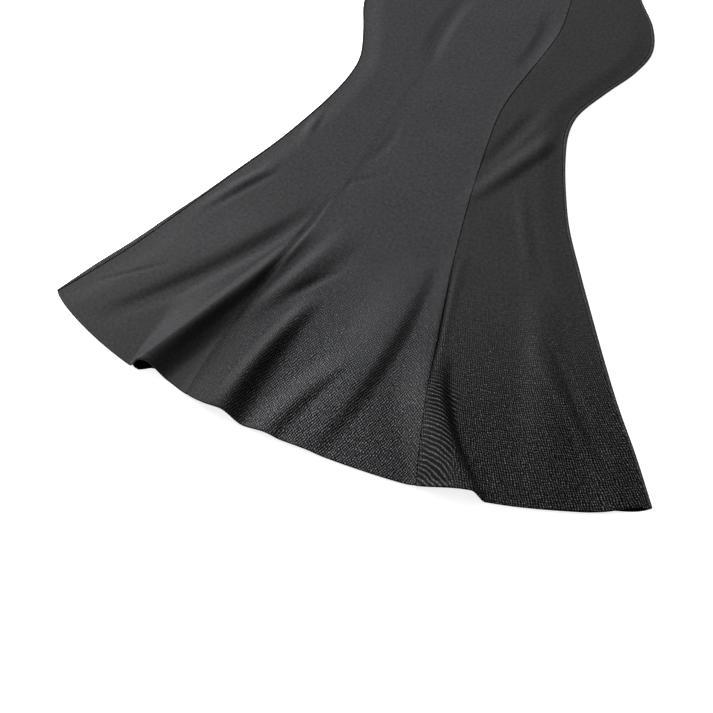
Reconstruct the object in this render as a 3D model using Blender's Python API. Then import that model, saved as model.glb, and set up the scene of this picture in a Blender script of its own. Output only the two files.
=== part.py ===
"""Six-gore fishtail skirt of twill, laid flat: three fluted front gores on three flat back gores.

Units are metres, +Z up, and +Y runs from the hem to the waist.
"""

import math
from collections import namedtuple

import bmesh
import bpy

# Cloth and sewing
WALL = 0.0012            # thickness of the twill
SEAM_GAP = 0.0003        # between two pieces that are sewn together
LAYER_GAP = 0.0006       # between the back gores and the front gores that lie on them
BAND_WALL = 0.0018       # the waistband is folded double
BAND_GAP = 0.0005        # between the two sides of the flattened waistband
BAND_HEIGHT = 0.038
FRONT_REST = WALL + LAYER_GAP    # underside of a front gore where it lies on the back

# Lengths, measured up from the line through the two hem corners
WAIST_UP = 0.890         # lower edge of the waistband at the side seams
BACK_HEM_TUCK = 0.005    # the back hem lies this far behind the front hem
LEFT_BOW_POWER = 2.8     # roundness of the rows that run across the skirt, left and right of the middle
RIGHT_BOW_POWER = 2.4
CORNER_SHARE = 0.06      # share of a row's bow that is taken close to its two ends, at the hem's corners
CORNER_POWER = 40

# Fineness of the walls
ROWS = 34
ROW_CROWDING = 1.2       # over 1 puts more rows near the hem
SIDE_COLUMNS = 31
CENTRE_COLUMNS = 36
BEND_SAMPLES = 160       # places at which a row's bend is measured, to gather its columns there
BEND_PULL = 0.5          # how strongly bends gather the columns, against the root of curvature per metre
BACK_COLUMNS = 5
BEND_STEPS = 5

# One row across the skirt each. up: height of its ends over the hem corners. half: half its flat width.
# lean: sideways shift of its middle. bow: how far its middle hangs below its ends.
# tilt: how far its left end is above its middle. left_seam, right_seam: from its middle to the gore seams.
# left_roll, right_roll: width of the back gores' strips that roll over the sides onto the top.
Section = namedtuple("Section", "up half lean bow tilt left_seam right_seam left_roll right_roll")
SECTIONS = (
    Section(0.000, 0.400, 0.000, 0.0915, 0.0125, 0.167, 0.138, 0.0026, 0.0026),
    Section(0.060, 0.370, -0.005, 0.080, 0.0110, 0.162, 0.124, 0.0066, 0.0030),
    Section(0.118, 0.338, -0.010, 0.070, 0.0090, 0.153, 0.113, 0.0066, 0.0034),
    Section(0.177, 0.309, -0.015, 0.061, 0.0070, 0.139, 0.105, 0.0056, 0.0036),
    Section(0.237, 0.280, -0.019, 0.052, 0.0050, 0.123, 0.096, 0.0038, 0.0040),
    Section(0.302, 0.250, -0.024, 0.043, 0.0030, 0.109, 0.088, 0.0032, 0.0042),
    Section(0.369, 0.220, -0.028, 0.034, 0.0015, 0.095, 0.081, 0.0030, 0.0036),
    Section(0.430, 0.199, -0.030, 0.027, 0.0000, 0.089, 0.075, 0.0030, 0.0030),
    Section(0.490, 0.182, -0.031, 0.021, 0.0000, 0.084, 0.070, 0.0030, 0.0036),
    Section(0.545, 0.172, -0.032, 0.017, 0.0000, 0.080, 0.067, 0.0030, 0.0052),
    Section(0.590, 0.174, -0.031, 0.015, 0.0000, 0.078, 0.068, 0.0032, 0.0062),
    Section(0.650, 0.196, -0.028, 0.013, 0.0000, 0.081, 0.075, 0.0040, 0.0060),
    Section(0.710, 0.222, -0.025, 0.012, 0.0000, 0.087, 0.083, 0.0046, 0.0056),
    Section(0.765, 0.232, -0.022, 0.012, 0.0000, 0.090, 0.087, 0.0050, 0.0052),
    Section(0.825, 0.215, -0.019, 0.012, 0.0000, 0.083, 0.081, 0.0050, 0.0050),
    Section(0.890, 0.176, -0.016, 0.012, 0.0000, 0.071, 0.071, 0.0044, 0.0044),
    Section(0.928, 0.168, -0.014, 0.012, 0.0000, 0.070, 0.070, 0.0040, 0.0040),
)

# How far the front cloth stands off the back between its flutes, by height over the hem corners
Swell = namedtuple("Swell", "up height")
SWELLS = (
    Swell(0.00, 0.0008),
    Swell(0.10, 0.0014),
    Swell(0.25, 0.0022),
    Swell(0.45, 0.0030),
    Swell(0.75, 0.0030),
    Swell(0.89, 0.0006),
)
SWELL_EDGE = 0.035       # the swell dies out over this distance from each side seam
TUCK_LENGTH = 0.070      # how far up the gores the tucks and draws of their hems are felt

# Places where the hem is drawn in towards the waist. front, back: how far the front and the back cloth are
# drawn in, below zero where the cloth comes forward. left, right: how far that spreads along the hem.
# The back cloth's tuck is taken back again at both ends, so that its strips meet the front gores there.
Draw = namedtuple("Draw", "x front back left right")
DRAWS = (
    Draw(-0.400, 0.0000, -0.0050, 0.010, 0.024),
    Draw(-0.240, 0.0030, -0.0050, 0.016, 0.020),
    Draw(-0.222, 0.0120, 0.0120, 0.028, 0.100),
    Draw(-0.112, 0.0020, 0.0020, 0.030, 0.030),
    Draw(0.386, 0.0050, 0.0000, 0.040, 0.0114),
    Draw(0.400, 0.0000, -0.0050, 0.060, 0.010),
)

# One flute or crease of the front cloth each, as a soft wave along a line of three points (x, y).
# heights: at those points, below zero for a trough. left, right: its spread to each side of the line at
# the lower and at the upper end.
Fold = namedtuple("Fold", "name low middle high heights left right")
FOLDS = (
    Fold("left_flute", (-0.240, -0.058), (-0.187, 0.070), (-0.124, 0.250),
         (0.0165, 0.0085, -0.0010), (0.014, 0.140), (0.044, 0.030)),
    Fold("left_crest", (-0.240, -0.058), (-0.187, 0.070), (-0.128, 0.235),
         (0.0, 0.0060, 0.0), (0.014, 0.016), (0.024, 0.016)),
    Fold("left_swell", (-0.330, 0.015), (-0.238, 0.140), (-0.160, 0.270),
         (0.0010, 0.0036, 0.0005), (0.080, 0.080), (0.032, 0.026)),
    Fold("left_trough", (-0.310, 0.005), (-0.208, 0.130), (-0.145, 0.265),
         (-0.0008, -0.0035, -0.0008), (0.030, 0.022), (0.024, 0.014)),
    Fold("middle_flute", (-0.118, -0.080), (-0.102, 0.030), (-0.076, 0.140),
         (0.0145, 0.0060, 0.0), (0.070, 0.060), (0.034, 0.030)),
    Fold("middle_crest", (-0.118, -0.080), (-0.102, 0.030), (-0.078, 0.130),
         (0.0, 0.0070, 0.0), (0.018, 0.016), (0.024, 0.018)),
    Fold("upper_ridge", (-0.142, 0.080), (-0.114, 0.150), (-0.084, 0.240),
         (0.0015, 0.0055, 0.0010), (0.018, 0.024), (0.020, 0.036)),
    Fold("centre_ridge", (-0.002, -0.090), (0.028, 0.050), (0.034, 0.240),
         (0.0030, 0.0080, 0.0), (0.076, 0.060), (0.028, 0.020)),
    Fold("short_ridge", (-0.056, -0.090), (-0.034, -0.020), (-0.002, 0.050),
         (0.0050, 0.0065, 0.0), (0.034, 0.034), (0.024, 0.018)),
    Fold("right_centre_ridge", (0.104, 0.020), (0.088, 0.110), (0.074, 0.250),
         (0.0010, 0.0022, 0.0010), (0.030, 0.030), (0.022, 0.018)),
    Fold("right_flute", (0.201, -0.078), (0.126, 0.026), (0.102, 0.110),
         (0.0215, 0.0125, 0.0), (0.084, 0.050), (0.020, 0.018)),
    Fold("right_swell", (0.290, -0.058), (0.246, 0.080), (0.180, 0.260),
         (0.0010, 0.0050, 0.0), (0.055, 0.030), (0.060, 0.030)),
    Fold("right_corner", (0.366, -0.060), (0.350, 0.020), (0.330, 0.100),
         (0.0030, 0.0015, 0.0), (0.040, 0.024), (0.030, 0.020)),
    Fold("right_trough", (0.345, 0.000), (0.268, 0.110), (0.205, 0.185),
         (-0.0010, -0.0030, 0.0), (0.020, 0.014), (0.020, 0.014)),
    Fold("drag_ridge", (0.048, 0.365), (0.086, 0.440), (0.132, 0.540),
         (0.0010, 0.0050, 0.0030), (0.020, 0.026), (0.020, 0.024)),
    Fold("drag_trough", (0.045, 0.420), (0.062, 0.480), (0.084, 0.560),
         (0.0, -0.0025, -0.0010), (0.018, 0.018), (0.018, 0.018)),
    Fold("left_hip_crease", (-0.095, 0.600), (-0.104, 0.690), (-0.090, 0.790),
         (0.0, -0.0030, 0.0), (0.024, 0.024), (0.018, 0.018)),
    Fold("right_hip_crease", (0.030, 0.640), (0.044, 0.720), (0.038, 0.800),
         (0.0, -0.0030, 0.0), (0.018, 0.018), (0.024, 0.024)),
)
TUCKING_FLUTES = ("middle_flute", "right_flute")     # the back hem lies wholly under these two
HEM_FOLDS_BELOW = -0.050     # a fold that starts lower than this runs out through the hem
FOLD_FADE = 0.030        # the other ends of folds fade out over this length
CONTACT_ROUNDING = 0.0012    # how softly the front cloth comes down onto the back

# Finish: linear colour and roughness
Finish = namedtuple("Finish", "colour roughness")
FRONT_TWILL = Finish((0.040, 0.040, 0.042, 1.0), 0.82)
BACK_TWILL = Finish((0.032, 0.032, 0.034, 1.0), 0.82)
BAND_TWILL = Finish((0.036, 0.036, 0.038, 1.0), 0.80)


def clear_objects():
    for old in list(bpy.data.objects):
        bpy.data.objects.remove(old, do_unlink=True)


def curve_through(knots, values, at):
    """Value at a knot position of a smooth curve through the table's values."""
    if at <= knots[0]:
        return values[0]
    if at >= knots[-1]:
        return values[-1]
    i = max(k for k in range(len(knots) - 1) if knots[k] <= at)
    span = knots[i + 1] - knots[i]
    t = (at - knots[i]) / span

    def slope(k):
        below = max(k - 1, 0)
        above = min(k + 1, len(knots) - 1)
        return (values[above] - values[below]) / (knots[above] - knots[below])

    start = (2 * t ** 3 - 3 * t ** 2 + 1) * values[i] + (t ** 3 - 2 * t ** 2 + t) * span * slope(i)
    end = (3 * t ** 2 - 2 * t ** 3) * values[i + 1] + (t ** 3 - t ** 2) * span * slope(i + 1)
    return start + end


def section_at(up):
    knots = [s.up for s in SECTIONS]
    columns = zip(*SECTIONS)
    return Section(*(curve_through(knots, values, up) for values in columns))


def row_y(section, x):
    """Y of a point of one row: its middle hangs below its ends in a round bow."""
    share = (x - section.lean) / section.half
    power = LEFT_BOW_POWER if share < 0 else RIGHT_BOW_POWER
    reach = min(abs(share), 1)
    hang = section.bow * (1 - (1 - CORNER_SHARE) * reach ** power - CORNER_SHARE * reach ** CORNER_POWER)
    return section.up - hang - section.tilt * share


def side_x(section, side):
    return section.lean + side * section.half


def roll_width(section, side):
    return section.left_roll if side < 0 else section.right_roll


def front_side(section, side):
    """X of the side seam, where a front gore meets the strip that rolls over from the back."""
    return side_x(section, side) - side * roll_width(section, side)


def fade(distance, length):
    t = min(max(distance / length, 0), 1)
    return t * t * (3 - 2 * t)


def bell(x, middle, left, right):
    """Soft wave of height one over two spreads."""
    reach = min(abs(x - middle) / (left if x < middle else right), 1)
    return 0.5 * (1 + math.cos(math.pi * reach))


def through_three(values, t, m):
    """Quadratic through three values at t = 0, m and 1."""
    low, middle, high = values
    return low * (t - m) * (t - 1) / m + middle * t * (1 - t) / (m * (1 - m)) + high * t * (t - m) / (1 - m)


def fold_height(fold, x, y):
    """Height that one fold adds at a point of the front cloth."""
    length = fold.high[1] - fold.low[1]
    m = (fold.middle[1] - fold.low[1]) / length
    t = min(max((y - fold.low[1]) / length, 0), 1)
    crest_x = through_three((fold.low[0], fold.middle[0], fold.high[0]), t, m)
    left, right = (low + (high - low) * t for low, high in (fold.left, fold.right))
    height = through_three(fold.heights, t, m) * bell(x, crest_x, left, right)
    from_hem = fold.low[1] < HEM_FOLDS_BELOW
    start = 1 if from_hem else fade(y - fold.low[1] + FOLD_FADE, FOLD_FADE)
    end = fade(fold.high[1] + FOLD_FADE - y, FOLD_FADE)
    return height * start * end


def drawn(section, x, cloth):
    """How far the front or the back cloth is drawn in towards the waist, which dies out above the hem."""
    place = SECTIONS[0].half * (x - section.lean) / section.half
    depth = sum(bell(place, d.x, d.left, d.right) * getattr(d, cloth) for d in DRAWS)
    return depth * (1 - fade(section.up, TUCK_LENGTH))


def lift(section, x, y):
    """Height of the front cloth's underside over the place where it would lie flat."""
    knots = [s.up for s in SWELLS]
    heights = [s.height for s in SWELLS]
    from_side = min(x - front_side(section, -1), front_side(section, 1) - x)
    height = curve_through(knots, heights, section.up)
    height += sum(fold_height(fold, x, y) for fold in FOLDS)
    height = 0.5 * (height + math.sqrt(height ** 2 + CONTACT_ROUNDING ** 2))
    return height * fade(from_side, SWELL_EDGE)


def front_point(section, x):
    y = row_y(section, x) + drawn(section, x, "front")
    return (x, y, FRONT_REST + lift(section, x, y))


def front_pair(section, x):
    """Inner and outer point of a front gore: the outer one stands off along the cloth's normal."""
    step = 0.001
    higher = section_at(min(section.up + step, SECTIONS[-1].up))
    lower = section_at(max(section.up - step, SECTIONS[0].up))
    across = [b - a for a, b in zip(front_point(section, x - step), front_point(section, x + step))]
    along = [b - a for a, b in zip(front_point(lower, x), front_point(higher, x))]
    normal = (
        across[1] * along[2] - across[2] * along[1],
        across[2] * along[0] - across[0] * along[2],
        across[0] * along[1] - across[1] * along[0],
    )
    size = math.sqrt(sum(c * c for c in normal))
    inner = front_point(section, x)
    outer = tuple(p + WALL * c / size for p, c in zip(inner, normal))
    return inner, outer


def wall(name, inner, outer, ring, finish):
    """Closed wall between two grids of points. A ring's last column joins its first."""
    mesh = bpy.data.meshes.new(name)
    model = bmesh.new()
    middle = middle_of_skirt()

    def vertices(grid):
        return [[model.verts.new((x, y - middle, z)) for x, y, z in row] for row in grid]

    inside = vertices(inner)
    outside = vertices(outer)
    rows = len(inside)
    columns = len(inside[0])
    spans = range(columns if ring else columns - 1)
    for j in spans:
        k = (j + 1) % columns
        for i in range(rows - 1):
            model.faces.new((outside[i][j], outside[i][k], outside[i + 1][k], outside[i + 1][j]))
            model.faces.new((inside[i][j], inside[i + 1][j], inside[i + 1][k], inside[i][k]))
        model.faces.new((inside[0][j], inside[0][k], outside[0][k], outside[0][j]))
        model.faces.new((inside[-1][k], inside[-1][j], outside[-1][j], outside[-1][k]))
    for j in () if ring else (0, -1):
        for i in range(rows - 1):
            # The same diagonal on both sides of a seam, so that the two edges stay parallel
            model.faces.new((inside[i][j], outside[i][j], outside[i + 1][j]))
            model.faces.new((inside[i][j], outside[i + 1][j], inside[i + 1][j]))
    bmesh.ops.recalc_face_normals(model, faces=model.faces)
    model.to_mesh(mesh)
    model.free()
    mesh.shade_smooth()
    mesh.set_sharp_from_angle(angle=math.radians(50))
    mesh.materials.append(cloth_material(name, finish))
    piece = bpy.data.objects.new(name, mesh)
    bpy.context.scene.collection.objects.link(piece)
    return piece


def cloth_material(name, finish):
    material = bpy.data.materials.new(name + "_cloth")
    material.use_nodes = True
    shader = material.node_tree.nodes["Principled BSDF"]
    shader.inputs["Base Color"].default_value = finish.colour
    shader.inputs["Roughness"].default_value = finish.roughness
    shader.inputs["Metallic"].default_value = 0.0
    return material


def skirt_rows():
    """Heights of the rows from hem to waist, closer together near the hem."""
    return [(WAIST_UP - SEAM_GAP) * (k / ROWS) ** ROW_CROWDING for k in range(ROWS + 1)]


def hem_low():
    hem = section_at(0)
    return min(row_y(hem, hem.half * k / 100) for k in range(-100, 101))


def middle_of_skirt():
    """Y halfway between the hem's lowest point and the top of the waistband."""
    return (hem_low() + WAIST_UP + BAND_HEIGHT) / 2


def spaced(start, end, count):
    return [start + (end - start) * k / count for k in range(count + 1)]


def moved(point, dx):
    return (point[0] + dx, point[1], point[2])


def gathered(section, start, end, count):
    """Places across a row of the front cloth, closer together where the row bends."""
    step = (end - start) / BEND_SAMPLES
    places = spaced(start, end, BEND_SAMPLES)
    heights = [front_point(section, x)[2] for x in places]
    bends = [abs(a - 2 * b + c) / step ** 2 for a, b, c in zip(heights, heights[1:], heights[2:])]
    bends = [bends[0]] + bends + [bends[-1]]
    pulled = [0.0]
    for a, b in zip(bends, bends[1:]):
        pulled.append(pulled[-1] + 1 + BEND_PULL * math.sqrt((a + b) / 2))
    across = [start]
    k = 0
    for share in spaced(0, pulled[-1], count)[1:-1]:
        while pulled[k + 1] < share:
            k += 1
        across.append(places[k] + step * (share - pulled[k]) / (pulled[k + 1] - pulled[k]))
    return across + [end]


def front_gore(name, left_edge, right_edge, columns):
    """Front gore between two seams, whose X at a section the two functions give."""
    grids = ([], [])
    for up in skirt_rows():
        section = section_at(up)
        across = gathered(section, left_edge(section), right_edge(section), columns)
        pairs = [front_pair(section, x) for x in across]
        for layer, grid in enumerate(grids):
            row = [pair[layer] for pair in pairs]
            row[0] = moved(row[0], SEAM_GAP / 2)
            row[-1] = moved(row[-1], -SEAM_GAP / 2)
            grid.append(row)
    wall(name, *grids, False, FRONT_TWILL)


def front_gores():
    def left_side(section):
        return front_side(section, -1)

    def left_seam(section):
        return section.lean - section.left_seam

    def right_seam(section):
        return section.lean + section.right_seam

    def right_side(section):
        return front_side(section, 1)

    front_gore("front_left", left_side, left_seam, SIDE_COLUMNS)
    front_gore("front_centre", left_seam, right_seam, CENTRE_COLUMNS)
    front_gore("front_right", right_seam, right_side, SIDE_COLUMNS)


def back_seam(section):
    """Distance of the back gore seams from the middle, the same on both sides."""
    return (section.left_seam + section.right_seam) / 2


def back_point(section, x, z):
    """Point of the back cloth. Its hem lies a little behind the front hem, and wholly under two flutes."""
    y = row_y(section, x) + drawn(section, x, "back")
    tuck = BACK_HEM_TUCK + sum(fold_height(f, x, y) for f in FOLDS if f.name in TUCKING_FLUTES)
    return (x, y + tuck * (1 - fade(section.up, TUCK_LENGTH)), z)


def side_roll(section, side):
    """Inner and outer points (x, z) of a back gore's edge as it rolls over onto the top."""
    outer_radius = WALL + LAYER_GAP / 2
    inner_radius = LAYER_GAP / 2
    centre_x = side_x(section, side) - side * outer_radius
    pairs = []
    for k in range(BEND_STEPS + 1):
        angle = math.pi * (k / BEND_STEPS - 0.5)
        pairs.append([(centre_x + side * r * math.cos(angle), outer_radius + r * math.sin(angle))
                      for r in (inner_radius, outer_radius)])
    end_x = front_side(section, side) + side * SEAM_GAP / 2
    pairs.append([(end_x, outer_radius + r) for r in (inner_radius, outer_radius)])
    return pairs


def back_side_gore(name, side):
    inner = []
    outer = []
    for up in skirt_rows():
        section = section_at(up)
        seam_x = section.lean + side * (back_seam(section) + SEAM_GAP / 2)
        roll = side_roll(section, side)
        flat = [[(x, WALL), (x, 0)] for x in spaced(seam_x, roll[0][0][0], BACK_COLUMNS)[:-1]]
        pairs = flat + roll
        inner.append([back_point(section, x, z) for (x, z), _ in pairs])
        outer.append([back_point(section, x, z) for _, (x, z) in pairs])
    wall(name, inner, outer, False, BACK_TWILL)


def back_centre_gore():
    inner = []
    outer = []
    for up in skirt_rows():
        section = section_at(up)
        reach = back_seam(section) - SEAM_GAP / 2
        columns = spaced(section.lean - reach, section.lean + reach, 2 * BACK_COLUMNS)
        inner.append([back_point(section, x, WALL) for x in columns])
        outer.append([back_point(section, x, 0) for x in columns])
    wall("back_centre", inner, outer, False, BACK_TWILL)


def band_section(section):
    """Flattened ring of the waistband at one row, as inner and outer points (x, z)."""
    outer_radius = BAND_WALL + BAND_GAP / 2
    inner_radius = BAND_GAP / 2
    pairs = []
    for side in (1, -1):
        centre_x = side_x(section, side) - side * outer_radius
        for k in range(BEND_STEPS + 1):
            angle = side * math.pi * (k / BEND_STEPS - 0.5)
            pairs.append([(centre_x + side * r * math.cos(angle), outer_radius + r * math.sin(angle))
                          for r in (inner_radius, outer_radius)])
        across = spaced(centre_x, side_x(section, -side) + side * outer_radius, 2 * BACK_COLUMNS)[1:-1]
        pairs += [[(x, outer_radius + side * r) for r in (inner_radius, outer_radius)] for x in across]
    return pairs


def waistband():
    inner = []
    outer = []
    for up in spaced(WAIST_UP, WAIST_UP + BAND_HEIGHT, 2):
        section = section_at(up)
        pairs = band_section(section)
        inner.append([(x, row_y(section, x), z) for (x, z), _ in pairs])
        outer.append([(x, row_y(section, x), z) for _, (x, z) in pairs])
    wall("waistband", inner, outer, True, BAND_TWILL)


def main():
    clear_objects()
    front_gores()
    back_side_gore("back_left", -1)
    back_side_gore("back_right", 1)
    back_centre_gore()
    waistband()


main()
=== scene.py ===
"""Fishtail skirt of charcoal twill, laid flat on a white table: its cloth, seams, hem and waistband.

Units are metres in the frame's axes: +Z up, +Y from the hem to the waist. Each gore is a thin shell over
its plain solid, with the same outline and flutes and with the finer creases of real cloth.
"""

import math
from collections import namedtuple

import bpy
import numpy as np
from bpy.props import FloatProperty, FloatVectorProperty, PointerProperty
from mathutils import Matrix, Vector


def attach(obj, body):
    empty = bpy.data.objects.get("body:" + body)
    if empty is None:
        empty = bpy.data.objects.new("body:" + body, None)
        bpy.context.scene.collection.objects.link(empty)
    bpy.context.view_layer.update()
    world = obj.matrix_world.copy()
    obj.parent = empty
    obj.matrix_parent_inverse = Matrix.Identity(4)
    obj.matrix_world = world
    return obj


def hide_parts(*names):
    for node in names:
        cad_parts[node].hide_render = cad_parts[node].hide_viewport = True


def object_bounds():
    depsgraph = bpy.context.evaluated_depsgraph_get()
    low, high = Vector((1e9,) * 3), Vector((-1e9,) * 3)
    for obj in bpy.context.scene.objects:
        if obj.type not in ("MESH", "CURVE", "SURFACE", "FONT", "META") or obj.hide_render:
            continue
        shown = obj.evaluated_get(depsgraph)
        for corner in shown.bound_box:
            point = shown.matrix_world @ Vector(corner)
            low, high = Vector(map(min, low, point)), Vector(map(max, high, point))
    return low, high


bl_info = {
    "name": "Fishtail skirt laid flat",
    "version": (1, 0, 0),
    "blender": (4, 5, 0),
    "location": "3D View > Sidebar > Skirt",
    "description": "Builds the twill gores, the waistband and the table of a six-gore fishtail skirt",
    "category": "Object",
}

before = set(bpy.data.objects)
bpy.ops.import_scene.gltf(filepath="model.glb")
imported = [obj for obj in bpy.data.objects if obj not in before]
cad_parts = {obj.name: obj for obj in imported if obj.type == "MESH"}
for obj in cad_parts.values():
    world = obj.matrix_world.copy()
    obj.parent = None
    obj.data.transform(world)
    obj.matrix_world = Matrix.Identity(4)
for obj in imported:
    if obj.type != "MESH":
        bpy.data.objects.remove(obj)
CAD_LOW, CAD_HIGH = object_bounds()

# Cloth and sewing
WALL = 0.0012            # thickness of the twill
SEAM_GAP = 0.0003        # between two front gores that are sewn together
BACK_SEAM_GAP = 0.00004  # and between two back gores, too narrow for the table to show
LAYER_GAP = 0.0006       # between the back gores and the front gores that lie on them
BAND_WALL = 0.0018       # the waistband is folded double
BAND_GAP = 0.0005        # between the two sides of the flattened waistband
BAND_HEIGHT = 0.038
FRONT_REST = WALL + LAYER_GAP

# Lengths, measured up from the line through the two hem corners
WAIST_UP = 0.890
BACK_HEM_TUCK = 0.005    # the back hem lies this far behind the front hem
LEFT_BOW_POWER = 2.8     # roundness of the rows that run across the skirt, left and right of the middle
RIGHT_BOW_POWER = 2.4
CORNER_SHARE = 0.06      # share of a row's bow that is taken close to its two ends
CORNER_POWER = 40

# One row across the skirt each. up: height of its ends over the hem corners. half: half its flat width.
# lean: sideways shift of its middle. bow: how far its middle hangs below its ends.
# tilt: how far its left end is above its middle. left_seam, right_seam: from its middle to the gore seams.
# left_roll, right_roll: width of the back gores' strips that roll over the sides onto the top.
Section = namedtuple("Section", "up half lean bow tilt left_seam right_seam left_roll right_roll")
SECTIONS = (
    Section(0.000, 0.400, 0.000, 0.0915, 0.0125, 0.167, 0.138, 0.0026, 0.0026),
    Section(0.060, 0.370, -0.005, 0.080, 0.0110, 0.162, 0.124, 0.0066, 0.0030),
    Section(0.118, 0.338, -0.010, 0.070, 0.0090, 0.153, 0.113, 0.0066, 0.0034),
    Section(0.177, 0.309, -0.015, 0.061, 0.0070, 0.139, 0.105, 0.0056, 0.0036),
    Section(0.237, 0.280, -0.019, 0.052, 0.0050, 0.123, 0.096, 0.0038, 0.0040),
    Section(0.302, 0.250, -0.024, 0.043, 0.0030, 0.109, 0.088, 0.0032, 0.0042),
    Section(0.369, 0.220, -0.028, 0.034, 0.0015, 0.095, 0.081, 0.0030, 0.0036),
    Section(0.430, 0.199, -0.030, 0.027, 0.0000, 0.089, 0.075, 0.0030, 0.0030),
    Section(0.490, 0.182, -0.031, 0.021, 0.0000, 0.084, 0.070, 0.0030, 0.0036),
    Section(0.545, 0.172, -0.032, 0.017, 0.0000, 0.080, 0.067, 0.0030, 0.0052),
    Section(0.590, 0.174, -0.031, 0.015, 0.0000, 0.078, 0.068, 0.0032, 0.0062),
    Section(0.650, 0.196, -0.028, 0.013, 0.0000, 0.081, 0.075, 0.0040, 0.0060),
    Section(0.710, 0.222, -0.025, 0.012, 0.0000, 0.087, 0.083, 0.0046, 0.0056),
    Section(0.765, 0.232, -0.022, 0.012, 0.0000, 0.090, 0.087, 0.0050, 0.0052),
    Section(0.825, 0.215, -0.019, 0.012, 0.0000, 0.083, 0.081, 0.0050, 0.0050),
    Section(0.890, 0.176, -0.016, 0.012, 0.0000, 0.071, 0.071, 0.0044, 0.0044),
    Section(0.928, 0.168, -0.014, 0.012, 0.0000, 0.070, 0.070, 0.0040, 0.0040),
)

# How far the front cloth stands off the back between its flutes, by height over the hem corners
Swell = namedtuple("Swell", "up height")
SWELLS = (
    Swell(0.00, 0.0008), Swell(0.10, 0.0014), Swell(0.25, 0.0022),
    Swell(0.45, 0.0030), Swell(0.75, 0.0030), Swell(0.89, 0.0006),
)
SWELL_EDGE = 0.035       # the swell dies out over this distance from each side seam
TUCK_LENGTH = 0.070      # how far up the gores the tucks and draws of their hems are felt

# Places where the hem is drawn in towards the waist. front, back: how far the front and the back cloth are
# drawn in, below zero where the cloth comes forward. left, right: how far that spreads along the hem.
# The back cloth's tuck is taken back again at both ends, so that its strips meet the front gores there.
Draw = namedtuple("Draw", "x front back left right")
DRAWS = (
    Draw(-0.400, 0.0000, -0.0050, 0.010, 0.024),
    Draw(-0.240, 0.0030, -0.0050, 0.016, 0.020),
    Draw(-0.222, 0.0120, 0.0120, 0.028, 0.100),
    Draw(-0.112, 0.0020, 0.0020, 0.030, 0.030),
    Draw(0.386, 0.0050, 0.0000, 0.040, 0.0114),
    Draw(0.400, 0.0000, -0.0050, 0.060, 0.010),
)

# One flute or crease of the front cloth each, as a soft wave along a line of three points (x, y).
# heights: at those points, below zero for a trough. left, right: its spread to each side of the line at
# the lower and at the upper end.
Fold = namedtuple("Fold", "name low middle high heights left right")
FLUTES = (
    Fold("left_flute", (-0.240, -0.058), (-0.187, 0.070), (-0.124, 0.250),
         (0.0165, 0.0085, -0.0010), (0.014, 0.140), (0.044, 0.030)),
    Fold("left_crest", (-0.240, -0.058), (-0.187, 0.070), (-0.128, 0.235),
         (0.0, 0.0060, 0.0), (0.014, 0.016), (0.024, 0.016)),
    Fold("left_swell", (-0.330, 0.015), (-0.238, 0.140), (-0.160, 0.270),
         (0.0010, 0.0036, 0.0005), (0.080, 0.080), (0.032, 0.026)),
    Fold("left_trough", (-0.310, 0.005), (-0.208, 0.130), (-0.145, 0.265),
         (-0.0008, -0.0035, -0.0008), (0.030, 0.022), (0.024, 0.014)),
    Fold("middle_flute", (-0.118, -0.080), (-0.102, 0.030), (-0.076, 0.140),
         (0.0145, 0.0060, 0.0), (0.070, 0.060), (0.034, 0.030)),
    Fold("middle_crest", (-0.118, -0.080), (-0.102, 0.030), (-0.078, 0.130),
         (0.0, 0.0070, 0.0), (0.018, 0.016), (0.024, 0.018)),
    Fold("upper_ridge", (-0.142, 0.080), (-0.114, 0.150), (-0.084, 0.240),
         (0.0015, 0.0055, 0.0010), (0.018, 0.024), (0.020, 0.036)),
    Fold("centre_ridge", (-0.002, -0.090), (0.028, 0.050), (0.034, 0.240),
         (0.0030, 0.0080, 0.0), (0.076, 0.060), (0.028, 0.020)),
    Fold("short_ridge", (-0.056, -0.090), (-0.034, -0.020), (-0.002, 0.050),
         (0.0050, 0.0065, 0.0), (0.034, 0.034), (0.024, 0.018)),
    Fold("right_centre_ridge", (0.104, 0.020), (0.088, 0.110), (0.074, 0.250),
         (0.0010, 0.0022, 0.0010), (0.030, 0.030), (0.022, 0.018)),
    Fold("right_flute", (0.201, -0.078), (0.126, 0.026), (0.102, 0.110),
         (0.0215, 0.0125, 0.0), (0.084, 0.050), (0.020, 0.018)),
    Fold("right_swell", (0.290, -0.058), (0.246, 0.080), (0.180, 0.260),
         (0.0010, 0.0050, 0.0), (0.055, 0.030), (0.060, 0.030)),
    Fold("right_corner", (0.366, -0.060), (0.350, 0.020), (0.330, 0.100),
         (0.0030, 0.0015, 0.0), (0.040, 0.024), (0.030, 0.020)),
    Fold("right_trough", (0.345, 0.000), (0.268, 0.110), (0.205, 0.185),
         (-0.0010, -0.0030, 0.0), (0.020, 0.014), (0.020, 0.014)),
    Fold("drag_ridge", (0.048, 0.365), (0.086, 0.440), (0.132, 0.540),
         (0.0010, 0.0050, 0.0030), (0.020, 0.026), (0.020, 0.024)),
    Fold("drag_trough", (0.045, 0.420), (0.062, 0.480), (0.084, 0.560),
         (0.0, -0.0025, -0.0010), (0.018, 0.018), (0.018, 0.018)),
    Fold("left_hip_crease", (-0.095, 0.600), (-0.104, 0.690), (-0.090, 0.790),
         (0.0, -0.0030, 0.0), (0.024, 0.024), (0.018, 0.018)),
    Fold("right_hip_crease", (0.030, 0.640), (0.044, 0.720), (0.038, 0.800),
         (0.0, -0.0030, 0.0), (0.018, 0.018), (0.024, 0.024)),
)
TUCKING_FLUTES = ("middle_flute", "right_flute")     # the back hem lies wholly under these two
HEM_FOLDS_BELOW = -0.050     # a fold that starts lower than this runs out through the hem
FOLD_FADE = 0.030            # the other ends of folds fade out over this length
CONTACT_ROUNDING = 0.0012    # how softly the front cloth comes down onto the back

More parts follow.
